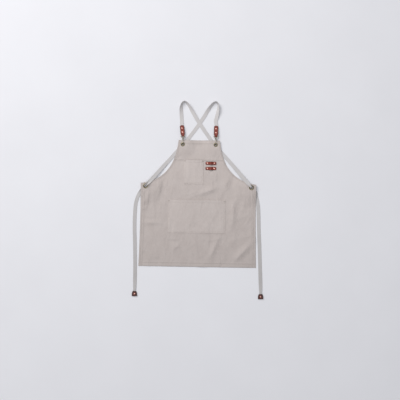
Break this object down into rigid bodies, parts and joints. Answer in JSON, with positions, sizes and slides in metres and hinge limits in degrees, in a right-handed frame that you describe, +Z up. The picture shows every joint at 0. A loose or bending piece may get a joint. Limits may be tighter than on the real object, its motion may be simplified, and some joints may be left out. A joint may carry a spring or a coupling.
{
  "type": "canvas apron",
  "caption": "Canvas bib apron laid flat, with patch pockets, leather loops and crossed webbing straps that hook to the bib and run through side eyelets as waist ties.",
  "frame": {"origin": "middle of the whole layout, on the table that the apron lies on", "axes": "+X across the apron to the right as seen from above, +Y from the hem towards the bib, +Z up from the table"},
  "size_m": [0.7846, 1.1721, 0.026],
  "materials": {
    "canvas": "matte woven",
    "webbing": "matte woven",
    "leather": "satin",
    "brass": "aged satin",
    "copper": "polished"
  },
  "bodies": {
    "apron": {"apron_panel": "canvas", "chest_pocket": "canvas", "waist_pocket": "canvas", "leather_loop_upper": "leather", "leather_loop_lower": "leather", "loop_rivet_upper_left": "copper", "loop_rivet_upper_right": "copper", "loop_rivet_lower_left": "copper", "loop_rivet_lower_right": "copper", "bib_eyelet_left": "brass", "side_eyelet_left": "brass", "bib_eyelet_right": "brass", "side_eyelet_right": "brass", "hook_body_left": "brass", "hook_eye_left": "brass", "hook_body_right": "brass", "hook_eye_right": "brass", "strap_left": "webbing", "strap_right": "webbing", "strap_tab_left": "leather", "strap_tab_right": "leather", "tab_rivet_left_upper": "copper", "tab_rivet_left_lower": "copper", "tab_rivet_right_upper": "copper", "tab_rivet_right_lower": "copper", "tie_tip_left": "leather", "tie_tip_right": "leather", "tip_rivet_left": "copper", "tip_rivet_right": "copper"},
    "gate_left": {"hook_gate_left": "brass"},
    "gate_right": {"hook_gate_right": "brass"}
  },
  "joints": [
    {"name": "gate_left_hinge", "type": "hinge", "parent": "apron", "child": "gate_left", "pos_m": [-0.098, 0.355, 0.0182], "axis": [1, 0, 0], "range_deg": [0, 25], "stiffness_Nm_per_rad": 0.02},
    {"name": "gate_right_hinge", "type": "hinge", "parent": "apron", "child": "gate_right", "pos_m": [0.098, 0.355, 0.0182], "axis": [1, 0, 0], "range_deg": [0, 25], "stiffness_Nm_per_rad": 0.02}
  ]
}
